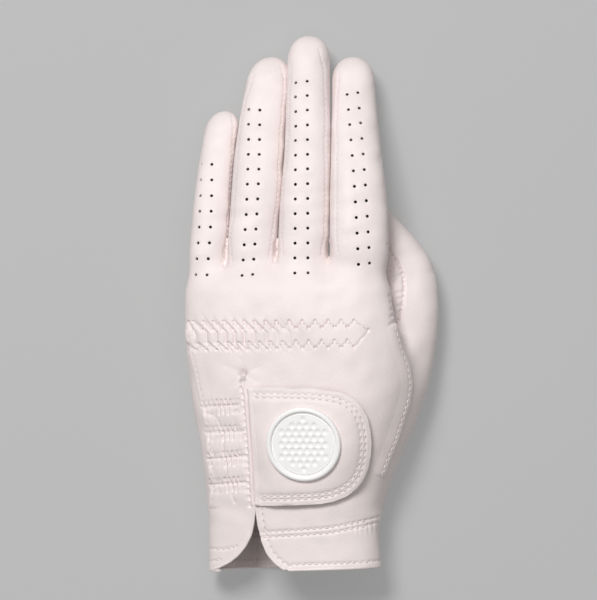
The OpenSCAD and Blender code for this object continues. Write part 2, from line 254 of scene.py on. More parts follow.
def surface_net(fn, low, high, step):
    """Quads on the zero level of fn, as (vertices, faces), with every vertex near it."""
    axes = [np.arange(lo, hi + step * 0.5, step) for lo, hi in zip(low, high)]
    values = sampled(fn, axes, step)
    for axis in range(3):
        for end in (0, -1):
            edge = np.moveaxis(values, axis, 0)
            edge[end] = np.maximum(edge[end], step * 0.5)
    inside = values < 0
    corners = [(i, j, k) for i in (0, 1) for j in (0, 1) for k in (0, 1)]
    nx, ny, nz = (len(a) - 1 for a in axes)

    def shifted(array, c):
        return array[c[0]:c[0] + nx, c[1]:c[1] + ny, c[2]:c[2] + nz]

    count = sum(shifted(inside, c).astype(np.int8) for c in corners)
    cells = np.argwhere((count > 0) & (count < 8))
    index = np.full((nx, ny, nz), -1, np.int32)
    index[tuple(cells.T)] = np.arange(len(cells))
    total, hits = np.zeros((len(cells), 3)), np.zeros(len(cells))
    for a in corners:
        for axis in range(3):
            if a[axis]:
                continue
            b = list(a)
            b[axis] = 1
            va, vb = (values[tuple((cells + c).T)] for c in (a, b))
            crossed = (va < 0) != (vb < 0)
            t = np.where(crossed, va / np.where(crossed, va - vb, 1), 0)
            point = np.tile(np.array(a, float), (len(cells), 1))
            point[:, axis] = t
            total += point * crossed[:, None]
            hits += crossed
    points = np.array(low) + (cells + total / hits[:, None]) * step
    faces = []
    for axis in range(3):
        u, v = (axis + 1) % 3, (axis + 2) % 3
        first, second = [slice(None)] * 3, [slice(None)] * 3
        first[axis], second[axis] = slice(0, -1), slice(1, None)
        here, there = inside[tuple(first)], inside[tuple(second)]
        edges = np.argwhere(here != there)
        edges = edges[(edges[:, u] > 0) & (edges[:, v] > 0)
                      & (edges[:, u] < (nx, ny, nz)[u]) & (edges[:, v] < (nx, ny, nz)[v])]
        quad = []
        for du, dv in ((1, 1), (0, 1), (0, 0), (1, 0)):
            cell = edges.copy()
            cell[:, u] -= du
            cell[:, v] -= dv
            quad.append(index[tuple(cell.T)])
        quad = np.stack(quad, 1)
        flip = ~here[tuple(edges.T)]
        quad[flip] = quad[flip][:, ::-1]
        faces.append(quad)
    return points, np.concatenate(faces)


def gradient(fn, p):
    """Values of fn and its gradient at points."""
    h = 0.03
    here = fn(*p.T)
    g = np.stack([fn(*(p + h * np.eye(3)[k]).T) - here for k in range(3)], 1) / h
    return here, g


def settle(fn, p):
    """Moves points that are near the zero level of fn onto it. Returns them with their normals."""
    near = 1.2
    for _ in range(2):
        off, g = gradient(fn, p)
        move = g * (off / np.maximum((g * g).sum(1), 0.05))[:, None]
        p = p - (np.abs(off) < near)[:, None] * np.clip(move, -0.5, 0.5)
    return p, unit(gradient(fn, p)[1])


def mesh_object(name, points, faces, smooth=True):
    """Makes an object from points in mm. The faces are one array, a row a face, or a list of such arrays."""
    mesh = bpy.data.meshes.new(name)
    groups = faces if isinstance(faces, list) else [faces]
    every = [face for group in groups for face in np.asarray(group, int).tolist()]
    mesh.from_pydata((np.asarray(points) * MM).tolist(), [], every)
    mesh.update()
    if smooth:
        mesh.polygons.foreach_set("use_smooth", np.ones(len(mesh.polygons), bool))
    obj = bpy.data.objects.new(name, mesh)
    bpy.context.scene.collection.objects.link(obj)
    return obj


def unit(v):
    """Vectors along the last axis, brought to length 1."""
    return v / np.maximum(np.linalg.norm(v, axis=-1), 1e-9)[..., None]


def circles(across, up, sides):
    """Offsets of the points of a circle round each place, spanned by two directions."""
    angle = (np.arange(sides) * 2 * math.pi / sides)[:, None]
    return np.cos(angle) * across[..., None, :] + np.sin(angle) * up[..., None, :]


def smoothstep(low, high, v):
    t = np.clip((v - low) / (high - low), 0, 1)
    return t * t * (3 - 2 * t)


def window(a, b, c, d, v):
    """Rises smoothly from 0 at a to 1 at b, and falls again from c to d."""
    return smoothstep(a, b, v) * (1 - smoothstep(c, d, v))


def pleats(v, pitch, power):
    """Even folds from 0 to 1 with sharp valleys; the lower the power, the broader their tops."""
    return np.abs(np.sin(math.pi * v / pitch)) ** power


# ---------------------------------------------------------------- relief: height maps seen from above and below

RELIEF_STEP = 0.25
RELIEF_LOW = np.array([-62.0, -122.0])
RELIEF_SHAPE = (496, 968)
GRID_X = RELIEF_LOW[0] + RELIEF_STEP * np.arange(RELIEF_SHAPE[0])[:, None]
GRID_Y = RELIEF_LOW[1] + RELIEF_STEP * np.arange(RELIEF_SHAPE[1])[None, :]
relief = {"back": np.zeros(RELIEF_SHAPE), "palm": np.zeros(RELIEF_SHAPE)}


def press(side, points, depth, width):
    """Presses a soft groove of the given depth along closely spaced points, or pits at single ones."""
    cut = np.zeros(RELIEF_SHAPE)
    reach = int(3 * width / RELIEF_STEP) + 1
    for x, y in points:
        i = int(round((x - RELIEF_LOW[0]) / RELIEF_STEP))
        j = int(round((y - RELIEF_LOW[1]) / RELIEF_STEP))
        if not (reach < i < RELIEF_SHAPE[0] - reach and reach < j < RELIEF_SHAPE[1] - reach):
            continue
        part = slice(i - reach, i + reach + 1), slice(j - reach, j + reach + 1)
        d2 = (GRID_X[part[0]] - x) ** 2 + (GRID_Y[:, part[1]] - y) ** 2
        cut[part] = np.maximum(cut[part], np.exp(-d2 / (2 * width * width)))
    relief[side] -= depth * cut


def relief_at(side, x, y):
    u = np.clip((x - RELIEF_LOW[0]) / RELIEF_STEP, 0, RELIEF_SHAPE[0] - 1.001)
    v = np.clip((y - RELIEF_LOW[1]) / RELIEF_STEP, 0, RELIEF_SHAPE[1] - 1.001)
    i, j = u.astype(int), v.astype(int)
    u, v = u - i, v - j
    r = relief[side]
    return ((r[i, j] * (1 - u) + r[i + 1, j] * u) * (1 - v)
            + (r[i, j + 1] * (1 - u) + r[i + 1, j + 1] * u) * v)


def line(points, step=0.5, passes=4):
    """Evenly spaced plan points on a smooth line."""
    points = np.array(points, float)
    length = np.linalg.norm(np.diff(points, axis=0), axis=1).sum()
    return smooth_path(np.c_[points, np.zeros(len(points))], max(int(length / step), 3) + 1, passes)[:, :2]


def waves(x, y, wavelength, seed):
    """Smooth irregular field of about unit height."""
    count = 14
    random = np.random.default_rng(seed)
    total = 0
    for _ in range(count):
        angle, phase = random.uniform(0, 2 * math.pi, 2)
        k = 2 * math.pi / (wavelength * random.uniform(0.7, 1.6))
        total = total + np.sin(k * (x * math.cos(angle) + y * math.sin(angle)) + phase)
    return total / math.sqrt(count / 2)


def offset_line(points, distance):
    """Moves a plan line sideways, to its left when the distance is positive."""
    run = unit(np.gradient(points, axis=0))
    return points + distance * np.c_[-run[:, 1], run[:, 0]]


# Finger perforations: top row, bottom row (left and right hole) and the number of rows
HOLES = {
    "little": ((-47.6, 60.2, -42.5, 60.2), (-49.4, 12.2, -44.4, 12.2), 8),
    "ring": ((-26.6, 83.8, -21.7, 83.6), (-29.3, 12, -24.7, 12.4), 12),
    "middle": ((-6.3, 95.3, -1.2, 95.9), (-6.6, 13, -0.9, 13), 14),
    "index": ((16.0, 90.2, 20.7, 91), (20.7, 16.5, 25.5, 17), 12),
}
HOLE_BEND = {"little": 0.7, "ring": 0.84, "middle": 0, "index": 0.42}
HOLE_RADIUS = 0.7
HOLE_CLEAR = 1.1  # least distance from a hole to the cut between hand and finger
# Where the finger and thumb pieces start
FINGER_CUT = 28.0
THUMB_CUT = -4.5
# Fourchette seams on the back: finger and plan line, from the crotch up
SEAMS = [
    ("little", [(-38, 17), (-36.4, 24), (-34.4, 44), (-33.7, 64), (-33.4, 77), (-34.4, 82)]),
    ("ring", [(-33.6, 18), (-34.4, 26), (-32.4, 50), (-31, 70), (-28, 88), (-24.6, 99)]),
    ("ring", [(-17.6, 20), (-16.4, 28), (-14.3, 44), (-13.1, 64), (-11.8, 84), (-11, 96),
              (-12.6, 103)]),
    ("middle", [(-11.8, 20.5), (-12.6, 28), (-11.8, 50), (-10, 66), (-9, 90), (-8.4, 104)]),
    ("middle", [(5, 20.5), (6, 28), (6.6, 44), (6.5, 64), (6.5, 90), (6.2, 102), (3.8, 110)]),
    ("index", [(11.8, 21.5), (11.2, 30), (11.2, 46), (11.4, 66), (11.6, 90), (12.4, 100)]),
]
THUMB_SEAM = line(
    [(33.6, 25.5), (34.6, 22.4), (37.8, 18.1), (40.4, 12), (40.9, 6.5), (40.1, 0), (38.2, -7.6)], 0.4)
BACK_EDGE = line([(36.6, -7.5), (38.6, -14), (40.6, -20.3), (43, -27), (44.2, -35.4), (43, -43.2),
                  (40.4, -50.5), (38, -58.5), (35.6, -65.2), (33, -71), (30.8, -76.5)])
SIDE_SEAM = line([(-54, -10.5), (-51.9, -21.6), (-49.3, -33.4), (-47.3, -43.2), (-45.7, -50.5),
                  (-44.5, -59.8), (-43.7, -67.5), (-43.2, -78.7), (-43.5, -90)])
SLIT_TOP = (-28.6, -33.4)
LEFT_EDGE = line([SLIT_TOP, (-27.0, -40), (-26.4, -50.5), (-25.2, -63.5), (-24.4, -76.5), (-24, -87.4),
                  (-24.7, -94.6), (-25.9, -100), (-28.3, -104.7), (-31.2, -108.4), (-35, -111.6), (-40, -114.4),
                  (-44.6, -116.6)])
RIGHT_EDGE = line([SLIT_TOP, (-27.6, -37), (-26, -43), (-24.4, -60), (-23.4, -76), (-22.7, -90.2),
                   (-21.9, -95.9), (-20.4, -102.3), (-18.1, -107.8), (-15, -111.6), (-11.4, -114.3),
                   (-7, -115.9)])
HEM_SLOPE = 0.032


def hem_y(x):
    return -116.0 + (x + 45) * HEM_SLOPE


HEM_LINE = line([(-7, hem_y(-7)), (12, hem_y(12)), (31, hem_y(31))])
CUFF_ROW = np.array([(-21.2, -98.6), (-8, -97.8), (8, -96.6), (20, -94.4), (29.6, -92.4)])
SIDE_ROWS = [((-46.6, -44.8), (-30.4, -43.8)), ((-44.9, -55.9), (-29.0, -55.2)),
             ((-43.9, -67.5), (-28.2, -65.8)), ((-43.2, -78.7), (-28.0, -77.2))]
SIDE_PITCH = 2.0
# Knuckle elastic. A zigzag row has a level and a tooth height at its left and right ends, and the way of its
# teeth. Both rows run from the side seam to the tip of the arrow.
ZIG_ROWS = [(-10.0, -9.0, 3.7, 2.5, 1), (-19.0, -17.5, 3.2, 2.8, -1)]
ZIG_LEFT = -52.6
TEETH = 14
ARROW_TIP = (25.0, -11.8)


def fold_x(count):
    """Where the gathered folds of the knuckle elastic lie: closer together on the left."""
    return np.interp(count, [-1, 0, 8, 14], [-54.0, -49.7, -14.5, 18.7])


def zigzag(row):
    """Corners of a zigzag row: teeth lean over on the left, where the leather is gathered most."""
    left_y, right_y, left_h, right_h, way = row
    corners = []
    for k in range(-1, TEETH + 1):
        x = fold_x(k)
        t = (x + 50) / 69  # 0 at the row's left end, 1 at its right end
        y, height = left_y + (right_y - left_y) * t, left_h + (right_h - left_h) * t
        lean = 0.8 * (1 - smoothstep(-30, -8, x))
        tooth = [(x - way * lean, y + way * height / 2), (fold_x(k + 0.5) + way * lean, y - way * height / 2)]
        corners += tooth if k < TEETH else tooth[:1]
    corners = np.array(corners + [ARROW_TIP])
    corners[:, 0] = np.maximum(corners[:, 0], ZIG_LEFT)
    return corners


def even_stitches(points, pitch, fill):
    """Start and end of each stitch along a plan line. They fill the given part of the pitch."""
    length = np.r_[0, np.cumsum(np.linalg.norm(np.diff(points, axis=0), axis=1))]
    count = max(int(length[-1] / pitch), 1)
    starts = np.linspace(0, length[-1], count + 1)[:-1]
    step = length[-1] / count

    def at(t):
        return np.stack([np.interp(t, length, points[:, k]) for k in (0, 1)], 1)

    return np.stack([at(starts + step * (1 - fill) / 2), at(starts + step * (1 + fill) / 2)], 1)


STITCH_POINTS = 5
stitches = []  # (side, pairs of plan points, thread radius, finger or None)


def stitch_points(pairs):
    """Five plan points along each stitch."""
    t = np.linspace(0, 1, STITCH_POINTS)[None, :, None]
    return pairs[:, :1] * (1 - t) + pairs[:, 1:] * t


def sew(points, pitch, depth=0.35, width=0.5, side="back", radius=0.24, fill=0.72, finger=None):
    """A row of stitches that pulls a groove into the leather, with a pit at each needle hole."""
    pairs = even_stitches(points, pitch, fill)
    press(side, points, depth, width)
    press(side, np.concatenate([pairs[:, 0], pairs[:, 1]]), depth * 0.8, 0.3)
    stitches.append((side, pairs, radius, finger))


# Knuckle elastic: rows of zigzag, and the puckers it gathers
for row in ZIG_ROWS:
    corners = zigzag(row)
    for a, b in zip(corners, corners[1:]):
        gathered = 1 - smoothstep(-26, 2, (a[0] + b[0]) / 2)
        falling = b[1] < a[1]
        depth = 0.4 + gathered * (0.45 if falling else -0.3)
        press("back", line([a, b], 0.2, 0), depth, 0.3 + 0.08 * gathered)
    press("back", corners, 0.5, 0.3)
    press("back", corners[corners[:, 0] > -10] + [0, 0.5], 0.5, 0.3)
    for span in ((0.06, 0.47), (0.53, 0.94)):
        ends = [corners[:-1] * (1 - t) + corners[1:] * t for t in span]
        stitches.append(("back", np.stack(ends, 1), 0.2, None))
lean = np.interp(GRID_Y, [-25, -20.7, -17.3, -12.6, -8, -3], [-4.4, -3, 0, 0, 4.2, 6.6])
along_x = GRID_X + lean * (1 - 0.5 * smoothstep(-20, 5, GRID_X)) + 0.3 * waves(GRID_X, GRID_Y, 22, 3)
phase = np.interp(along_x, fold_x(np.arange(-2, 17)), np.arange(-2, 17))
ridge = pleats(phase, 1, 0.5)
strength = np.interp(GRID_X, [-54, -47, -26, -15, -6, 6, 22], [1.1, 1.5, 1.3, 0.8, 0.3, 0.12, 0])
strength = strength * (0.85 + 0.15 * waves(GRID_X, 0 * GRID_Y, 14, 5))
band = window(-22.5, -18.5, -9.6, -4.5, GRID_Y)
band = band * (0.75 + 0.75 * window(-18.5, -16.5, -12.5, -10.5, GRID_Y))
relief["back"] += band * strength * (ridge - 0.8)
relief["back"] += 0.12 * strength * window(-19, -15, -13, -9, GRID_Y)

# Side elastic: four short smocked rows with fine gathers and a few creases between them
for k, ((x0, y0), (x1, y1)) in enumerate(SIDE_ROWS):
    slope = (y1 - y0) / (x1 - x0)
    sew(line([(x0, y0), (x1, y1)], 0.4), SIDE_PITCH, 0.85, 0.42, radius=0.2, fill=0.8)
    for n in range(int((x1 - x0) / SIDE_PITCH) + 1):
        x = x0 + 0.5 + SIDE_PITCH * n
        y = y0 + (x - x0) * slope
        press("back", line([(x, y + 0.9), (x - 0.15, y + 2.4)], 0.2, 0), 0.95, 0.29)
        press("back", line([(x + 1, y - 0.9), (x + 1.1, y - 3.0 - 0.5 * (n % 2))], 0.2, 0), 0.85, 0.3)
    v = GRID_Y - (y0 + y1) / 2 - (GRID_X - (x0 + x1) / 2) * slope
    along = window(x0 - 1.5, x0 + 1, x1 - 0.5, x1 + 1.5, GRID_X)
    gather = pleats(GRID_X - 0.1 * v + 0.4 * waves(GRID_X, GRID_Y, 9, 20 + k), 3.1, 0.7)
    relief["back"] += along * np.exp(-((np.abs(v) - 2.2) / 2.2) ** 2) * 0.25 * (gather - 0.6)
    relief["back"] += along * np.exp(-((v + 5.7) / 3.4) ** 2) * 0.45
for crease in ([(-44.6, -47.6), (-41.6, -48.4), (-39.4, -51), (-38.4, -54)],
               [(-37.8, -57.6), (-37.4, -61), (-37.2, -65)], [(-42.4, -70), (-40.6, -73), (-39.8, -77)],
               [(-36, -69), (-35.6, -73), (-36.4, -76)], [(-31.8, -46.4), (-32.6, -50), (-32, -54)],
               [(-41.4, -59), (-42, -63), (-41.4, -66)], [(-33, -79.6), (-33.6, -83), (-32.6, -86)]):
    press("back", line(crease, 0.3), 0.5, 0.38)

# Slit: topstitched left edge, and folds that the bar tack pulls
SLIT_ROW = line([(-30.2, -34.2), (-28.9, -40.6), (-28.2, -50.5), (-27.3, -63.5), (-26.6, -76.5), (-26.1, -87)])
SLIT_PITCH = 2.8
sew(SLIT_ROW, SLIT_PITCH, 0.3, 0.5, radius=0.22, fill=0.5)
for a, b in even_stitches(SLIT_ROW, SLIT_PITCH, 0.5):
    press("back", line([b + (-0.2, 0.1), b + (0.25, -1.2)], 0.2, 0), 1.0, 0.36)
for end in ((-36, -27), (-33.4, -35.6), (-22.4, -27.6), (-23, -33.6), (-29.4, -24.4)):
    press("back", line([(-28.9, -30), end], 0.4), 0.18, 0.8)
press("back", [(-28.9, -30.2)], 0.7, 1.7)

# Finger seams, with small pulled tacks at the crotches
for finger, points in SEAMS:
    sew(line(points), 2.3, 0.2, 0.38, radius=0.15, fill=0.6, finger=finger)
for x, y in ((-36.2, 15.6), (-15, 17.6), (8.2, 18.6)):
    left, right = x - 1.3, x + 1.3
    press("back", line([(x, y + 1), (x, y + 8)], 0.4), 0.5, 0.7)
    for k in (-0.9, 0.9):
        stitches.append(("back", np.array([[(left, y + k), (right, y + k + 0.2)]]), 0.17, None))
    uprights = np.array([[(left, y - 0.9), (left, y + 1)], [(right, y - 0.7), (right, y + 1)]])
    stitches.append(("back", uprights, 0.15, None))

# Thumb: web seam with cross wrinkles towards the hand
sew(THUMB_SEAM, 2.0, 0.6, 0.4, radius=0.2)
for y, length in ((11.6, 4.6), (4.2, 6), (1.6, 5.2), (-1.6, 4.6), (-4.6, 4), (-8, 3.4), (16.8, 3)):
    x = np.interp(y, [-8, 0, 6.5, 12, 18], [38, 40, 40.8, 40.2, 37.6])
    press("back", line([(x - 0.3, y + 0.6), (x - length / 2, y + 0.1), (x - length, y - 1.2)], 0.3), 0.5, 0.6)
relief["back"] += 0.3 * np.exp(-((GRID_X - 37.5) / 2.2) ** 2 - ((GRID_Y - 3) / 9) ** 2)

# Cuff: double row, edge rows, and gathers where the wrist elastic ends
for drop in (0, 2.3):
    sew(line(CUFF_ROW - [0, drop]), 2.6, 0.35, 0.5)
sew(offset_line(RIGHT_EDGE[112:-4], 2.2), 2.7, 0.32, 0.5)
sew(HEM_LINE + [0, 2.3], 2.7, 0.32, 0.5)
sew(line([(-43.2, -106.6), (-37, -106.4), (-31.8, -105)]), 2.2, 0.3, 0.45)
sew(line([(-43.4, -112.2), (-39, -111)]), 2.2, 0.3, 0.45)
cuff = smoothstep(12, 27, GRID_X) * np.exp(-((GRID_Y + 97.4 - (GRID_X - 20) * 0.15) / 2.6) ** 2)
relief["back"] += 0.35 * cuff * (pleats(GRID_X, 2.1, 0.7) - 0.6)

# Holes sit in slight dimples
hole_points = {}
for name, (top, bottom, count) in HOLES.items():
    t = np.linspace(0, 1, count)[:, None]
    pairs = np.array(top) * (1 - t) + np.array(bottom) * t
    pairs[:, [0, 2]] += HOLE_BEND[name] * np.sin(math.pi * t)
    spots = np.concatenate([pairs[:, :2], pairs[:, 2:]])
    off = spots[:, 1] - FINGER_CUT
    clear = np.where(off < 0, -HOLE_CLEAR, HOLE_CLEAR)
    spots[:, 1] += np.where(np.abs(off) < HOLE_CLEAR, clear - off, 0)
    hole_points[name] = spots
    press("back", spots, 0.22, 0.75)

# Soft leather: broad undulation, and faint cross folds on the fingers and above the cuff
relief["back"] += 0.16 * waves(GRID_X, GRID_Y, 26, 7) + 0.07 * waves(GRID_X, GRID_Y, 10, 8)
relief["back"] += smoothstep(14, 30, GRID_Y) * 0.09 * waves(GRID_X * 0.35, GRID_Y, 8, 9)
relief["back"] += window(-104, -96, -92, -84, GRID_Y) * 0.12 * waves(GRID_X * 0.4, GRID_Y, 9, 10)

# Palm side: front finger seams, thumb gusset, heel folds and a gathered wrist
relief["palm"] += 0.2 * waves(GRID_X, GRID_Y, 22, 11) + 0.12 * waves(GRID_X * 0.5, GRID_Y, 9, 12)
for finger, f in FINGERS.items():
    ys = np.linspace(30, f["tip"] - 6, 30)
    for side in (-1, 1):
        sew(np.c_[f["x"](ys) + side * f["w"](ys) * 0.8, ys], 2.3, 0.3, 0.45, "palm", 0.17, 0.6, finger)
PALM_THUMB = line([(20, -70), (14, -56), (11, -40), (12, -24), (17, -13), (24, -7.5)])
sew(PALM_THUMB, 2.2, 0.5, 0.6, "palm", 0.2)
sew(offset_line(PALM_THUMB, -1.8), 2.2, 0.3, 0.5, "palm", 0.2)
for x, y, length in ((-30, 2, 26), (-6, 6, 30), (8, -2, 18), (-34, -18, 20), (-12, -30, 22), (-20, -64, 24)):
    press("palm", line([(x - length / 2, y - 2), (x, y + 1), (x + length / 2, y - 1)], 0.4), 0.45, 1.0)
wrist = window(-101, -98, -90, -85, GRID_Y)
wrist = wrist * (1 - smoothstep(22, 30, np.abs(GRID_X + 6)))
gather = pleats(GRID_X + 0.8 * waves(GRID_X, GRID_Y, 12, 13), 4.2, 0.6)
relief["palm"] += wrist * 0.75 * (gather - 0.6)
for y in (-91, -95, -99):
    sew(line([(-32, y), (-6, y - 0.6), (18, y)]), 2.2, 0.3, 0.5, "palm", 0.2)
sew(line([(-42, -112.6), (-6, -111.6), (27, -110.4)]), 2.7, 0.3, 0.5, "palm")

# No groove may reach through the leather: past a depth it only deepens slowly, to a limit
GROOVE, GROOVE_MORE = 0.6, 0.45
for side in ("back", "palm"):
    deep = np.minimum(relief[side] + GROOVE, 0)
    relief[side] = np.maximum(relief[side], -GROOVE) + GROOVE_MORE * np.tanh(deep / GROOVE_MORE)


def on_surface(side, x, y, lift=0.0, detail=True, fn=hand_part):
    """Points and outward normals above (or below) plan points, on the leather with its relief."""
    x, y = np.broadcast_arrays(np.asarray(x, float), np.asarray(y, float))
    sign, start = (1, 60.0) if side == "back" else (-1, -10.0)
    flat = x.ravel(), y.ravel()
    z = np.full(x.size, start)
    for _ in range(26):  # steps towards the leather, most of its distance at a time
        z = z - sign * 0.85 * np.clip(fn(*flat, z), -2, 8)
    p = np.stack([x, y, z.reshape(x.shape)], -1)
    n = unit(gradient(fn, p.reshape(-1, 3))[1].reshape(p.shape))
    height = lift + (relief_at(side, x, y) if detail else 0)
    return p + n * np.asarray(height)[..., None], n


# ---------------------------------------------------------------- materials


def linear(r, g, b):
    return tuple(((c / 255 + 0.055) / 1.055) ** 2.4 for c in (r, g, b)) + (1,)


def material(name, colour, roughness, grain, bump, tone, weave=0, sheen=0.0):
    """Procedural finish: slight blotches of tone, and a grain of the given size in mm or a woven face."""
    mat = bpy.data.materials.new(name)
    mat.use_nodes = True
    tree = mat.node_tree
    shader = tree.nodes["Principled BSDF"]
    shader.inputs["Roughness"].default_value = roughness
    shader.inputs["Sheen Weight"].default_value = sheen

    def node(kind, source=None, target=None, **values):
        made = tree.nodes.new("ShaderNode" + kind)
        for key, value in values.items():
            made.inputs[key].default_value = value
        if source is not None:
            tree.links.new(source, made.inputs[target])
        return made

    place = node("TexCoord").outputs["Object"]
    blotch = node("TexNoise", place, "Vector", Scale=55, Detail=5)
    ramp = node("ValToRGB", blotch.outputs["Fac"], "Fac")
    base = linear(*colour)
    low = tuple(c * (1 - 2 * tone) for c in base[:3]) + (1,)
    for stop, position, shade in zip(ramp.color_ramp.elements, (0.3, 0.62), (low, base)):
        stop.position, stop.color = position, shade
    tree.links.new(ramp.outputs["Color"], shader.inputs["Base Color"])
    if weave:
        fine = node("TexWave", place, "Vector", Scale=weave, Distortion=0.6).outputs["Fac"]
    else:
        cells = node("TexVoronoi", place, "Vector", Scale=1000 / grain)
        cells.feature = "SMOOTH_F1"
        fine = cells.outputs["Distance"]
    pores = node("TexNoise", place, "Vector", Scale=420, Detail=6)
    height = node("Math", fine, 0)
    height.operation = "ADD"
    tree.links.new(pores.outputs["Fac"], height.inputs[1])
    bumps = node("Bump", height.outputs[0], "Height", Strength=bump, Distance=0.0003)
    tree.links.new(bumps.outputs["Normal"], shader.inputs["Normal"])
    return mat


LEATHER = material("blush_leather", (243, 231, 229), 0.55, 0.7, 0.22, 0.025, sheen=0.08)
LINING = material("suede_lining", (172, 158, 155), 0.9, 0.5, 0.5, 0.06, sheen=0.2)
FACING = material("grey_facing", (232, 217, 214), 0.92, 0.4, 0.5, 0.05, weave=420)
THREAD = material("pale_thread", (238, 227, 224), 0.7, 0.3, 0.3, 0.03, weave=900)
BINDING = material("binding_leather", (244, 233, 230), 0.5, 0.6, 0.2, 0.02, sheen=0.08)
ELASTIC = material("woven_elastic", (226, 220, 217), 0.85, 0.4, 0.5, 0.04, weave=500)
TAPE = material("hook_and_loop_tape", (228, 223, 220), 0.9, 0.35, 0.6, 0.05)
BADGE = material("badge_rubber", (252, 250, 249), 0.42, 0.5, 0.05, 0.01)

# ---------------------------------------------------------------- leather shells

STEP = 0.8
ORIGIN = np.array([-60.0, -124.0, -3.2])
WALL = 1.25
THUMB_CLEARANCE = 1.3
SLIT_FLOOR = 16.5
BELOW, ABOVE = -30, 90


def on_lattice(v):
    """The nearest corner of the coarse grid, so that neighbouring shells share their corners."""
    return ORIGIN + np.round((np.array(v) - ORIGIN) / (2 * STEP)) * 2 * STEP


def displaced(points, normals):
    """Points moved along their normals by the relief of the side they face."""
    x, y = points.T[:2]
    facing = normals[:, 2]
    back = smoothstep(0.0, 0.35, facing) * relief_at("back", x, y)
    palm = smoothstep(0.05, 0.4, -facing) * relief_at("palm", x, y)
    return points + normals * (back + palm)[:, None]


def refine(points, faces):
    """Cuts the faces that carry detail into smaller ones, and those with the finest detail once more."""
    mesh = bpy.data.meshes.new("refine")
    mesh.from_pydata(points.tolist(), [], faces.tolist())
    for limit, reach in ((0.16, 2), (0.42, 0)):
        centre, normal = np.empty(len(mesh.polygons) * 3), np.empty(len(mesh.polygons) * 3)
        mesh.polygons.foreach_get("center", centre)
        mesh.polygons.foreach_get("normal", normal)
        cell = ((centre.reshape(-1, 3)[:, :2] - RELIEF_LOW) / RELIEF_STEP).astype(int)
        i, j = (np.clip(cell[:, k], 2, RELIEF_SHAPE[k] - 3) for k in (0, 1))
        hit = np.zeros(len(mesh.polygons), bool)
        for side, sign in (("back", 1), ("palm", -1)):
            steep = np.hypot(*np.gradient(relief[side], RELIEF_STEP)) > limit
            near = np.any([steep[i + di, j + dj] for di in (-reach, 0, reach) for dj in (-reach, 0, reach)], 0)
            hit |= near & (normal[2::3] * sign > 0.05)
        bm = bmesh.new()
        bm.from_mesh(mesh)
        bm.faces.ensure_lookup_table()
        edges = {e for k in np.nonzero(hit)[0] for e in bm.faces[k].edges}
        bmesh.ops.subdivide_edges(bm, edges=list(edges), cuts=1, use_grid_fill=True)
        bm.to_mesh(mesh)
        bm.free()
    out = np.empty(len(mesh.vertices) * 3)
    mesh.vertices.foreach_get("co", out)
    rows = {}
    for polygon in mesh.polygons:
        rows.setdefault(polygon.loop_total, []).append(tuple(polygon.vertices))
    bpy.data.meshes.remove(mesh)
    return out.reshape(-1, 3), [np.array(r) for r in rows.values()]


def shell(name, fn, low, high):
    """Closed leather shell: outer face with its detail, and a plainer inner face."""
    low, high = on_lattice(low), on_lattice(high)

    def inside(x, y, z):
        return fn(x, y, z) + WALL

    outer, outer_faces = refine(*surface_net(fn, low, high, STEP))
    outer = displaced(*settle(fn, outer))
    inner, inner_faces = surface_net(inside, low, high, 2 * STEP)
    inner, _ = settle(inside, inner)
    obj = mesh_object(name, np.concatenate([outer, inner]), outer_faces + [inner_faces[:, ::-1] + len(outer)])
    obj.data.materials.append(LEATHER)
    obj.data.materials.append(LINING)
    kinds = np.zeros(len(obj.data.polygons), np.int32)
    kinds[-len(inner_faces):] = 1
    obj.data.polygons.foreach_set("material_index", kinds)
    return obj


def prism(outline, low=BELOW):
    """Closed prism over a plan outline that runs anticlockwise."""
    outline = np.asarray(outline, float)
    n = len(outline)
    points = np.concatenate([np.c_[outline, np.full(n, low)], np.c_[outline, np.full(n, ABOVE)]])
    k = np.arange(n)
    sides = np.stack([k, (k + 1) % n, (k + 1) % n + n, k + n], 1)
    return mesh_object("cutter", points, [sides, np.array([k[::-1]]), np.array([k + n])], False)


def boolean(obj, cutter, operation):
    """Cuts obj by the cutter object, which is used up."""
    change = obj.modifiers.new("cut", "BOOLEAN")
    change.object, change.operation, change.solver = cutter, operation, "MANIFOLD"
    evaluated = obj.evaluated_get(bpy.context.evaluated_depsgraph_get())
    mesh = bpy.data.meshes.new_from_object(evaluated)
    old = obj.data
    obj.modifiers.clear()
    obj.data = mesh
    bpy.data.meshes.remove(old)
    bpy.data.meshes.remove(cutter.data)
    if not len(mesh.polygons):
        raise RuntimeError(f"{obj.name}: nothing is left after {operation}")
    return obj


def hole_cutter(points):
    """Thin rods through the leather at the given plan points."""
    sides = 14
    at, normal = on_surface("back", points[:, 0], points[:, 1])
    across = unit(np.cross(normal, [0, 1, 0]))
    ring = circles(across, np.cross(normal, across), sides) * HOLE_RADIUS
    top, bottom = (at[:, None] + normal[:, None] * rise + ring for rise in (1.5, -3.0))
    rods = np.stack([bottom, top], 1).reshape(-1, 3)
    start = np.arange(len(points))[:, None] * 2 * sides
    this, after = start + np.arange(sides), start + (np.arange(sides) + 1) % sides
    walls = np.stack([this, after, after + sides, this + sides], -1)
    return mesh_object("rods", rods, [walls.reshape(-1, 4), this[:, ::-1], this + sides], False)


def beyond(y):
    """Cutter that fills the space past a level of y."""
    return prism([(-90, y), (90, y), (90, 200), (-90, 200)])


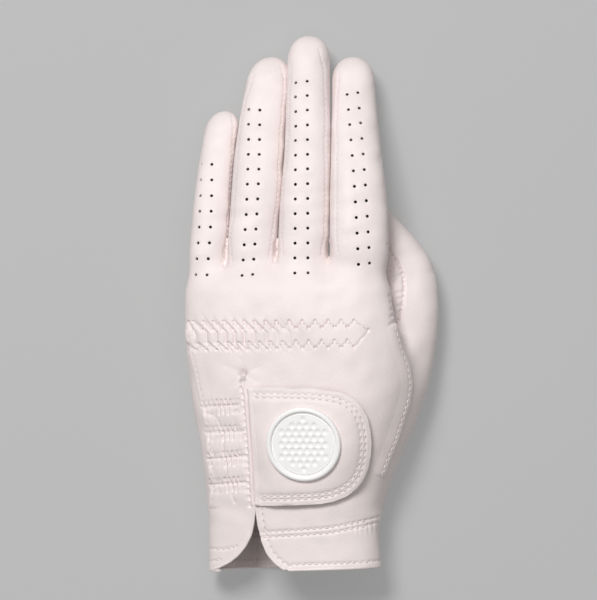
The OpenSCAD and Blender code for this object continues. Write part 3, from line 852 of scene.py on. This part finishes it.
THUMB_LOW, THUMB_HIGH = (10, -12, -3.2), (60, 46, 28)
hand = shell("glove_hand", hand_part, (-60, -124, -3.2), (60, 36, 56))
palm_zone = [(-90, hem_y(-90)), (90, hem_y(90)), (90, FINGER_CUT), (-90, FINGER_CUT)]
hand = boolean(hand, prism(palm_zone), "INTERSECT")
plug = mesh_object("plug", *surface_net(lambda x, y, z: thumb_field(x, y, z) - THUMB_CLEARANCE,
                                        on_lattice(THUMB_LOW), on_lattice(THUMB_HIGH), STEP))
hand = boolean(hand, boolean(plug, beyond(THUMB_CUT), "INTERSECT"), "DIFFERENCE")
slit = np.concatenate([LEFT_EDGE, [(-60, -118), (-60, -125), (-4, -125)], RIGHT_EDGE[:0:-1]])
hand = boolean(hand, prism(slit, SLIT_FLOOR), "DIFFERENCE")
low_holes = np.concatenate([p[p[:, 1] < FINGER_CUT - 1] for p in hole_points.values()])
parts = {"hand": boolean(hand, hole_cutter(low_holes), "DIFFERENCE")}
for name, f in FINGERS.items():
    root_x, tip_x = f["x"](24.0), f["x"](90.0)
    part = shell(f"glove_{name}_finger", finger_part(name), (min(root_x, tip_x) - 16, 22, -3.2),
                 (max(root_x, tip_x) + 16, f["tip"] + 3, 52))
    part = boolean(part, beyond(FINGER_CUT), "INTERSECT")
    high_holes = hole_points[name][hole_points[name][:, 1] > FINGER_CUT + 1]
    parts[name] = boolean(part, hole_cutter(high_holes), "DIFFERENCE")
thumb = shell("glove_thumb_end", thumb_field, THUMB_LOW, THUMB_HIGH)
parts["thumb"] = boolean(thumb, beyond(THUMB_CUT), "INTERSECT")

# ---------------------------------------------------------------- small builders


def tube(points, radius):
    """Round bead along 3-D points, closed at both ends."""
    sides = 10
    run = unit(np.gradient(points, axis=0))
    up = unit(np.array([0, 0, 1.0]) - run * run[:, 2:3])
    verts = (points[:, None] + circles(np.cross(run, up), up, sides) * radius).reshape(-1, 3)
    i, k = np.arange(len(points) - 1)[:, None] * sides, np.arange(sides)
    after = (k + 1) % sides
    walls = np.stack([i + k, i + k + sides, i + after + sides, i + after], -1).reshape(-1, 4)
    return verts, [walls, np.array([k, (k + i[-1] + sides)[::-1]])]


def slab(top, bottom):
    """Closed sheet between two grids of points, (rows, columns, 3), rows running to +Y and columns to +X."""
    rows, columns = top.shape[:2]
    n = rows * columns
    k = np.arange(n).reshape(rows, columns)
    a, b, c, d = k[:-1, :-1].ravel(), k[:-1, 1:].ravel(), k[1:, 1:].ravel(), k[1:, :-1].ravel()
    loop = np.concatenate([k[0, :-1], k[:-1, -1], k[-1, :0:-1], k[:0:-1, 0]])
    after = np.roll(loop, -1)
    faces = [np.stack([a, b, c, d], 1), np.stack([d, c, b, a], 1) + n,
             np.stack([loop + n, after + n, after, loop], 1)]
    return np.concatenate([top.reshape(-1, 3), bottom.reshape(-1, 3)]), faces


def joined(meshes):
    """One mesh of several (points, faces) pairs."""
    points, faces, start = [], [], 0
    for p, f in meshes:
        points.append(p)
        faces += [np.asarray(g) + start for g in f]
        start += len(p)
    return np.concatenate(points), faces


def patch(side, rows, low_lift, high_lift, step, bumps=None):
    """Sheet that follows the leather; rows are (y, x from, x to). Its rim is rounded over."""
    rows = np.array(rows, float)
    ys = np.arange(rows[0, 0], rows[-1, 0] + step / 2, step)
    x0, x1 = np.interp(ys, rows[:, 0], rows[:, 1]), np.interp(ys, rows[:, 0], rows[:, 2])
    columns = int((x1 - x0).max() / step) + 1
    t = np.linspace(0, 1, columns)
    x = x0[:, None] + (x1 - x0)[:, None] * t
    y = np.repeat(ys[:, None], columns, 1)
    rim = np.minimum(np.minimum(x - x0[:, None], x1[:, None] - x), np.minimum(y - ys[0], ys[-1] - y))
    lift = high_lift - (high_lift - low_lift) * 0.5 * np.exp(-rim / 0.5)
    if bumps is not None:
        lift = lift + bumps(x, y) * (rim > step * 0.5)
    top, _ = on_surface(side, x, y, lift, False)
    bottom, _ = on_surface(side, x, y, low_lift, False)
    if side == "palm":
        return slab(top[::-1], bottom[::-1])
    return slab(top, bottom)


def lap(points, inward, high=0.62):
    """Lapped edge of a panel: a full step on the line, then a needle groove, tapering off inwards over the
    panel. The line runs towards the cuff, so its rows are turned to run to +Y."""
    offsets = [0.0, 0.1, 0.35, 0.7, 1.1, 1.4, 1.6, 1.8, 2.2, 2.9, 3.8, 4.8, 6.4]
    lifts = high * np.array([0.35, 0.8, 1.08, 1.1, 1.0, 0.72, 0.6, 0.74, 0.8, 0.56, 0.3, 0.08, -0.3])
    x, y = np.stack([offset_line(points, inward * o) for o in offsets], 1)[::-1, ::inward].transpose(2, 0, 1)
    order = np.arange(len(points))
    ends = (smoothstep(0, 5, order) * smoothstep(0, 5, order[::-1]))[:, None]
    top, _ = on_surface("back", x, y, lifts[::inward] * ends - 0.3 * (1 - ends))
    bottom, _ = on_surface("back", x, y, -0.7)
    return slab(top, bottom)


def threads(rows):
    """Small raised stitches; rows hold (points, normals, radius) with a line of points to each stitch."""
    made = []
    samples, sides = STITCH_POINTS, 6
    arch = np.sin(math.pi * np.linspace(0, 1, samples)) ** 0.6
    for p, n, radius in rows:
        p = p + n * (radius * (1.7 * arch - 0.75))[None, :, None]
        run = unit(np.gradient(p, axis=1))
        across = unit(np.cross(run, n))
        ring = circles(across, np.cross(across, run), sides)
        thick = radius * (0.45 + 0.55 * arch)
        verts = (p[:, :, None] + ring * thick[None, :, None, None]).reshape(-1, 3)
        start = np.arange(len(p))[:, None, None] * samples * sides
        first = start + np.arange(samples - 1)[None, :, None] * sides
        k, after = np.arange(sides), (np.arange(sides) + 1) % sides
        walls = np.stack([first + k, first + k + sides, first + after + sides, first + after], -1)
        caps = start[:, 0] + k
        made.append((verts, [walls.reshape(-1, 4), caps, (caps + (samples - 1) * sides)[:, ::-1]]))
    return joined(made)


# ---------------------------------------------------------------- stitches, by the piece they sit on

for edge_row in (offset_line(BACK_EDGE, -1.6), offset_line(SIDE_SEAM, 1.6)):
    stitches.append(("lap", even_stitches(edge_row[4:-4], 2.6, 0.66), 0.24, None))

LAP_LIFT = 0.42
STITCH_DROP = 1.8
THUMB_SEAM_FROM, THUMB_SEAM_END = 33.4, 34  # in x and in y
sewn = {}
for side, pairs, radius, finger in stitches:
    plan = stitch_points(pairs)
    x, y = pairs.mean(1).T
    owner = np.where(y > FINGER_CUT, finger, "hand").astype(object)
    if side == "back":
        owner[(x > THUMB_SEAM_FROM) & (y > THUMB_CUT) & (y < THUMB_SEAM_END)] = "thumb"
    over, lift = ("back", LAP_LIFT) if side == "lap" else (side, 0.0)
    for who in sorted(set(owner)):
        chosen = owner == who
        fn = {"hand": hand_part, "thumb": thumb_field}.get(who) or finger_part(who)
        p, n = on_surface(over, plan[chosen, :, 0], plan[chosen, :, 1], lift, fn=fn)
        level = np.ptp(p[..., 2], axis=1) < STITCH_DROP  # a stitch that would hang over an edge is left out
        sewn.setdefault(who, []).append((p[level], n[level], radius))

SHARP_ANGLE = math.radians(42)
# Middle knuckles: y, and half the length of leather that bends
KNUCKLES = {"little": (39.8, 8.5), "ring": (52.0, 9.5), "middle": (55.9, 9.5), "index": (53.2, 9.5)}


def attach(obj, who):
    """Puts a hand or tab piece on its body; finger and thumb pieces only get their transform baked in."""
    if who in ("hand", "tab"):
        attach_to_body(obj, who)
    elif who == "thumb":
        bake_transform(obj)
    else:
        f, (y, half) = FINGERS[who], KNUCKLES[who]
        start, end = ((f["x"](v) * MM, v * MM, f["z"](v) * MM) for v in (y - half, y + half))
        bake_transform(obj)


def piece(name, mesh, who, mat, slot, *nodes):
    """Finishes an object, or a (points, faces) pair, as a piece on its body in place of CAD nodes."""
    obj = mesh_object(name, *mesh) if isinstance(mesh, tuple) else mesh
    if mat:
        obj.data.materials.clear()
        obj.data.materials.append(mat)
    obj.data.set_sharp_from_angle(angle=SHARP_ANGLE)
    attach(obj, who)
    if nodes:
        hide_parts(*nodes)


for who, obj in parts.items():
    nodes = {"hand": ["back_panel", "palm_panel", "thumb_root", "crotch_web", "fourchette_little_ring",
                      "fourchette_ring_middle", "fourchette_middle_index"],
             "thumb": ["thumb_crease", "thumb_tip_back", "thumb_tip_front"]}.get(who)
    if nodes is None:
        nodes = [f"{who}_{k}" for k in ("base_back", "base_front", "crease", "tip_back", "tip_front")]
        nodes.append(f"{who}_tip_fourchette" + ("s" if who in ("ring", "middle") else ""))
    piece(obj.name, obj, who, None, "leather", *nodes)
for who, rows in sewn.items():
    body = {"hand": "hand", "thumb": "thumb_end"}.get(who, f"{who}_finger")
    piece(f"stitches_{body}", threads(rows), who, THREAD, "leather")

# ---------------------------------------------------------------- edges of the hand panels

LEFT_UNDER_TAB = LEFT_EDGE[:112]
laps = joined([lap(BACK_EDGE, -1), lap(SIDE_SEAM, 1), lap(LEFT_UNDER_TAB, -1, 0.5)])
piece("panel_edges", laps, "hand", LEATHER, "leather")
EDGE_BEAD, HEM_BEAD = 0.62, 0.68
left_bead, _ = on_surface("back", *offset_line(LEFT_EDGE[104:-7], 0.15).T, -0.2)
right_bead, _ = on_surface("back", *offset_line(RIGHT_EDGE[6:-8], -0.15).T, -0.2)
piece("left_slit_edge", tube(left_bead, EDGE_BEAD), "hand", BINDING, "binding_leather", "slit_binding_left")
piece("right_slit_edge", tube(right_bead, EDGE_BEAD), "hand", BINDING, "binding_leather",
      "slit_binding_right")


def hem_ring(inset, start, stop):
    """Points round the cuff's opening, between two angles in degrees, at an inset from the outer face."""
    middle_x, middle_z = -6.5, 17.0
    angle = np.radians(np.linspace(start, stop, 150))
    radius = np.full(len(angle), 60.0)
    for _ in range(41):
        x, z = middle_x + radius * np.cos(angle), middle_z + radius * np.sin(angle)
        radius -= 0.7 * (hand_part(x, hem_y(x), z) + inset)
    return np.stack([x, hem_y(x), z], 1)


piece("cuff_hem", tube(hem_ring(0.5, 172, 460), HEM_BEAD), "hand", BINDING, "binding_leather")

# Dense bar tack at the top of the slit
tack = [[(-30.8 + 0.25 * k, -33.2 + 0.55 * k), (-26.9 - 0.1 * k, -33.0 + 0.6 * k)] for k in range(8)]
tack += [[(-28.9, -32), (-28.9 + 3.1 * math.cos(a), -30.6 + 3.1 * math.sin(a))]
         for a in np.linspace(0.5, 2.7, 7)]
tack = stitch_points(np.array(tack))
tack_row = (*on_surface("back", tack[..., 0], tack[..., 1], 0.12), 0.27)
piece("slit_tack_threads", threads([tack_row]), "hand", THREAD, "binding_leather", "slit_bar_tack")

# ---------------------------------------------------------------- tapes and facing inside

TUFT_PITCH = 1.5


def tufts(x, y):
    """Height of the tufts of hook-and-loop tape, from 0 to 1."""
    return pleats(x, TUFT_PITCH, 1) * pleats(y, TUFT_PITCH, 1)


facing = patch("palm", [(-115.4, -40, 28), (-112, -40, 28), (-86, -40, 26)], -2.1, -1.45, 1.2)
facing_rows = [patch("palm", [(y, -38, 26), (y + 1.3, -38, 26)], -2.5, -1.95, 0.65)
               for y in (-113.6, -103.4, -101.2, -94)]
piece("inner_cuff_facing", joined([facing] + facing_rows), "hand", FACING, "facing", "cuff_facing")
piece("wrist_elastic_tape", patch("palm", [(-97.6, -36, 22), (-89, -36, 22)], -3.1, -2.5, 0.8),
      "hand", ELASTIC, "elastic", "wrist_elastic")
piece("knuckle_elastic_tape", patch("back", [(-19, -46, 20), (-9, -46, 20)], -3.1, -2.5, 0.8),
      "hand", ELASTIC, "elastic", "knuckle_elastic")
tapes = [patch("back", [(y - 2, -40, -29.2), (y + 2, -40, -29.2)], -3.0, -2.4, 0.8)
         for y in (-44.3, -55.7, -67.1, -78.5)]
piece("side_elastic_tapes", joined(tapes), "hand", ELASTIC, "elastic", "side_elastics")

# ---------------------------------------------------------------- closure tab

TAB_ROOT_EDGE = [(-26.4, -35.9), (-25.7, -44), (-25.1, -55), (-24.4, -68), (-23.8, -79), (-23.5, -87.2)]
TAB_OUTLINE = line([
    (-23.5, -87.2), (-8, -86.9), (4.3, -86.2), (10, -85.2), (15.8, -82.9), (20, -79.8), (23, -76), (25, -71.4),
    (26, -66), (26.4, -60), (25.9, -54.6), (24.6, -49), (22, -44.2), (18.6, -40.8), (14, -38.4), (8, -36.9),
    (0, -36.2), (-12, -35.9), (-26.4, -35.9)], 0.5, 5)
root_line = line(TAB_ROOT_EDGE, 0.5, 5)[1:-1]
TAB_LOOP = np.concatenate([TAB_OUTLINE, root_line])
relief["tab"] = 0.1 * waves(GRID_X, GRID_Y, 24, 31) + 0.05 * waves(GRID_X, GRID_Y, 9, 32)
free_edge = TAB_OUTLINE[1:-1]
tab_pairs = []
for inset in (2.7, 4.5):
    row = offset_line(free_edge, inset)[4:-4]
    pairs = even_stitches(row, 2.9, 0.68)
    press("tab", row, 0.34, 0.5)
    press("tab", np.concatenate([pairs[:, 0], pairs[:, 1]]), 0.28, 0.32)
    tab_pairs.append(pairs)

badge_low, badge_high = (np.array(v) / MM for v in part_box("badge_base"))
BADGE_AT = (badge_low + badge_high) / 2
BADGE_UP = unit(np.array([-0.149, -0.164, 0.975]))
TAB_THICKNESS = 1.1


def tab_root_x(y):
    """Where the tab's root edge lies at a level."""
    return np.interp(-y, [-p[1] for p in TAB_ROOT_EDGE], [p[0] for p in TAB_ROOT_EDGE])


def tab_base(x, y):
    """Height of the tab's underside over plan points: arched over the hand, and flat under the badge."""
    ground = on_surface("back", x, y, 0.0, False)[0][..., 2]
    flat = np.stack([x, y], -1).reshape(-1, 1, 2)
    to_edge = np.sqrt(((flat - free_edge[None]) ** 2).sum(-1).min(1)).reshape(x.shape)
    lift = 3.3 - 2.2 * (1 - smoothstep(-1, 9, x - tab_root_x(y))) - (1 - smoothstep(0, 8, to_edge))
    z = ground + np.maximum(lift, 0.9)
    dx, dy = x - BADGE_AT[0], y - BADGE_AT[1]
    plane = BADGE_AT[2] - 0.55 - TAB_THICKNESS - (dx * BADGE_UP[0] + dy * BADGE_UP[1]) / BADGE_UP[2]
    r = np.hypot(dx, dy)
    return plane + (z - plane) * smoothstep(14.5, 24.5, r)


def capped_rings(n, rings):
    """Faces between rings of n points. The last two points close the last ring and the first one."""
    k, after = np.arange(n), (np.arange(n) + 1) % n
    last, top, bottom = (rings - 1) * n, rings * n, rings * n + 1
    faces = [np.stack([k, after, after + n, k + n], 1) + i * n for i in range(rings - 1)]
    faces.append(np.stack([k + last, after + last, np.full(n, top)], 1))
    faces.append(np.stack([after, k, np.full(n, bottom)], 1))
    return faces


def tab_slab(insets_top, low, high, margin=0.0, detail=True):
    """Rounded sheet in the tab's outline; low and high are heights over the tab's underside."""
    run = np.roll(TAB_LOOP, -1, 0) - np.roll(TAB_LOOP, 1, 0)
    for _ in range(3):
        run = (np.roll(run, 1, 0) + run * 2 + np.roll(run, -1, 0)) / 4
    normal = unit(np.c_[run[:, 1], -run[:, 0]])
    centre = np.array([1.0, -61.4])
    reach = ((TAB_LOOP - centre) * normal).sum(1)

    def ring(inset):
        return centre + (TAB_LOOP - centre) * (1 - (inset + margin) / reach)[:, None]

    edge = (high - low) * 0.32
    bevel = edge * 0.3
    levels = [(12.0, low), (6.0, low), (1.2, low), (bevel, low + bevel), (0, low + edge), (0, high - edge),
              (bevel, high - bevel)]
    plan = [ring(inset) for inset, _ in levels]
    height = [np.full(len(TAB_LOOP), h) for _, h in levels]
    for inset in insets_top:
        plan.append(ring(inset))
        height.append(high + relief_at("tab", *plan[-1].T) * detail - 0.12 * math.exp(-inset))
    faces = capped_rings(len(TAB_LOOP), len(plan))
    flat, up = np.concatenate(plan + [[centre, centre]]), np.concatenate(height + [[high, low]])
    return np.c_[flat, tab_base(*flat.T) + up], faces


TOP_INSETS = [0.7, 1.2, 1.7, 2.1, 2.4, 2.7, 3.0, 3.3, 3.6, 3.9, 4.2, 4.5, 4.8, 5.1, 5.5, 6.2, *range(7, 24)]
piece("closure_tab", tab_slab(TOP_INSETS, 0.0, TAB_THICKNESS), "tab", LEATHER, "leather", "tab_shell")
piece("closure_tab_lining", tab_slab([1, 3, 6, 9, 12, 16, 20], -0.62, -0.04, 0.45, False), "tab", LINING,
      "leather", "tab_lining")


def tab_top(x, y):
    """Points and normals on the tab's upper face over plan points."""
    h = 0.2
    z = tab_base(x, y) + TAB_THICKNESS + relief_at("tab", x, y)
    zx = (tab_base(x + h, y) - tab_base(x - h, y)) / (2 * h)
    zy = (tab_base(x, y + h) - tab_base(x, y - h)) / (2 * h)
    return np.stack([x, y, z], -1), unit(np.stack([-zx, -zy, np.ones_like(zx)], -1))


tab_rows = [(*tab_top(*stitch_points(pairs).transpose(2, 0, 1)), 0.24) for pairs in tab_pairs]
piece("closure_tab_stitches", threads(tab_rows), "tab", THREAD, "leather")

PATCH_ROWS = [(-79, -14, 17), (-70, -14, 19), (-61, -14, 19.5), (-52, -14, 19), (-44, -14, 17)]
loops = patch("back", PATCH_ROWS, 0.15, 1.0, 0.5,
              lambda x, y: 0.28 * (tufts(x, y) + 0.35 * np.abs(waves(x, y, 2.2, 41))))
piece("loop_pad", loops, "hand", TAPE, "hook_and_loop", "loop_patch")
hook_x, hook_y = np.meshgrid(np.arange(-12.5, 17.5, 0.5), np.arange(-78, -45, 0.5))
under_tab = tab_base(hook_x, hook_y)
hook_tips = under_tab - 1.05 - 0.3 * tufts(hook_x, hook_y)
hooks = [np.stack([hook_x, hook_y, z], -1) for z in (under_tab - 0.58, hook_tips)]
piece("hook_pad", slab(*hooks), "tab", TAPE, "hook_and_loop", "hook_patch")

# Soft root: from under the slit's left edge up to the tab, smoothed over its width
ys = np.arange(-87.0, -35.9, 0.7)
left = np.interp(-ys, -LEFT_UNDER_TAB[:, 1], LEFT_UNDER_TAB[:, 0])
right = tab_root_x(ys)
root_x = np.stack([left - 5, left - 3, left - 1.2, left + 0.4, left + 1.0,
                   right - 0.2, right + 0.6, right + 1.6], 1)
columns = root_x.shape[1]
root_y = np.repeat(ys[:, None], columns, 1)
ground = on_surface("back", root_x, root_y, 0.0, False)[0][..., 2]
tab_level = tab_base(right[:, None] + [[0.6, 1.6]], root_y[:, :2]) + TAB_THICKNESS
root_z = np.concatenate([ground[:, :3] - 2.0, ground[:, 3:4] - 0.35, ground[:, 4:5] + 0.6,
                         tab_level[:, :1] - 0.5, tab_level[:, :1] - 0.2, tab_level[:, 1:] - 0.1], 1)
fine = np.linspace(0, columns - 1, 36)
soft = np.array([[np.interp(fine, np.arange(columns), row) for row in grid] for grid in (root_x, root_z)])
for _ in range(14):
    soft[..., 1:-1] += 0.5 * ((soft[..., :-2] + soft[..., 2:]) / 2 - soft[..., 1:-1])
root_x, root_z = soft
root_y = np.repeat(ys[:, None], len(fine), 1)
run = np.gradient(soft, axis=2)
half = np.interp(fine, [0, 5.5, 7], [0.42, 0.42, 0.14]) / np.hypot(*run)
faces_of_root = [np.stack([root_x - way * run[1] * half, root_y, root_z + way * run[0] * half], -1)
                 for way in (1, -1)]
root_obj = mesh_object("closure_tab_root", *slab(*faces_of_root))
root_obj.data.materials.append(LEATHER)
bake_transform(root_obj)
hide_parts("tab_root")

# ---------------------------------------------------------------- badge


def badge_frame(points):
    """Turns badge coordinates into the row frame."""
    right_way = unit(np.cross([0, 1.0, 0], BADGE_UP))
    ahead = np.cross(BADGE_UP, right_way)
    return BADGE_AT + points @ np.stack([right_way, ahead, BADGE_UP])


def turned(profile, sides):
    """Closed solid of revolution from (radius, height) points that start and end on the axis."""
    profile = np.array(profile, float)
    angle = np.arange(sides) * 2 * math.pi / sides
    body = profile[1:-1]
    verts = np.stack([body[:, :1] * np.cos(angle), body[:, :1] * np.sin(angle),
                      np.repeat(body[:, 1:], sides, 1)], -1).reshape(-1, 3)
    verts = np.concatenate([verts, [(0, 0, profile[-1, 1]), (0, 0, profile[0, 1])]])
    return verts, capped_rings(sides, len(body))


RIM = [(0, -0.5), (15.4, -0.5), (15.9, -0.35), (16.1, 0.0), (16.15, 0.6), (16.05, 1.1), (15.8, 1.5),
       (15.4, 1.74), (14.95, 1.8), (14.5, 1.72), (14.15, 1.5), (13.98, 1.2), (13.9, 0.75), (13.8, 0.45),
       (13.6, 0.4), (8, 0.4), (0, 0.4)]
verts, faces = turned(RIM, 128)
piece("badge_rim_and_base", (badge_frame(verts), faces), "tab", BADGE, "badge", "badge_base", "badge_rim")

# Disc: closely spaced rings on its face carry the dimples and a fine line round them
DISC_EDGE = [(13.4, 0.42), (13.4, 0.7), (13.35, 0.84), (13.2, 0.95), (13.0, 1.0)]
face_rings = [(r, 1.0) for r in np.arange(0.35, 12.9, 0.35)[::-1]]
verts, faces = turned([(0, 0.42)] + DISC_EDGE + face_rings + [(0, 1.0)], 180)
DIMPLE_PITCH, DIMPLE_RADIUS, DIMPLE_DEPTH, DIMPLED_RADIUS = 3.15, 1.38, 0.42, 11.3
for i in range(-5, 6):
    for j in range(-5, 6):
        cx, cy = DIMPLE_PITCH * (i + 0.5 * (j % 2)), DIMPLE_PITCH * 0.866 * j
        if math.hypot(cx, cy) < DIMPLED_RADIUS:
            d = np.hypot(verts[:, 0] - cx, verts[:, 1] - cy) / DIMPLE_RADIUS
            verts[:, 2] -= np.where(verts[:, 2] > 0.9, DIMPLE_DEPTH * np.maximum(1 - d**2, 0), 0)
from_axis = np.hypot(verts[:, 0], verts[:, 1])
verts[:, 2] -= np.where(verts[:, 2] > 0.9, 0.12 * np.exp(-((from_axis - 12.4) / 0.22) ** 2), 0)
piece("badge_dimpled_disc", (badge_frame(verts), faces), "tab", BADGE, "badge", "badge_disc")

# ---------------------------------------------------------------- floor, light, camera

FLOOR_Z = -0.45
corners = [(x, y, FLOOR_Z) for x, y in ((-4000, -4000), (4000, -4000), (4000, 4000), (-4000, 4000))]
floor = mesh_object("floor", corners, np.array([(0, 1, 2, 3)]), False)
floor_mat = bpy.data.materials.new("pale_floor")
floor_mat.use_nodes = True
for key, value in {"Base Color": (0.3, 0.3, 0.3, 1), "Emission Color": (1, 1, 1, 1), "Emission Strength": 0.2,
                   "Roughness": 0.9}.items():
    floor_mat.node_tree.nodes["Principled BSDF"].inputs[key].default_value = value
floor.data.materials.append(floor_mat)


def area_light(name, location, size, power):
    """Rectangular light that faces the origin."""
    light = bpy.data.lights.new(name, "AREA")
    light.shape, light.size, light.size_y = "RECTANGLE", size[0], size[1]
    light.energy = power
    obj = bpy.data.objects.new(name, light)
    obj.location = location
    obj.rotation_euler = (-Vector(location)).to_track_quat("-Z", "Y").to_euler()
    bpy.context.scene.collection.objects.link(obj)


area_light("key", (-0.48, 0.92, 1.87), (0.65, 0.55), 31.5)
area_light("top", (0, 0, 2.4), (2.6, 2.6), 11.5)
world = bpy.data.worlds.new("studio")
world.use_nodes = True
world.node_tree.nodes["Background"].inputs["Color"].default_value = (1, 1, 1, 1)
world.node_tree.nodes["Background"].inputs["Strength"].default_value = 0.22
bpy.context.scene.world = world
bpy.context.scene.view_settings.view_transform = "Standard"

VIEW_CENTRE = (-4.97 * MM, 1.3 * MM)
VIEW_HEIGHT = 259.2 * MM
CAMERA_HEIGHT = 2.0
FOCUS_HEIGHT = 0.025  # the view has its stated height at this level
SENSOR = 36
camera_data = bpy.data.cameras.new("camera")
camera_data.sensor_width = SENSOR
camera_data.lens = SENSOR * (CAMERA_HEIGHT - FOCUS_HEIGHT) / VIEW_HEIGHT
camera = bpy.data.objects.new("camera", camera_data)
camera.location = (VIEW_CENTRE[0], VIEW_CENTRE[1], CAMERA_HEIGHT)
bpy.context.scene.collection.objects.link(camera)
bpy.context.scene.camera = camera
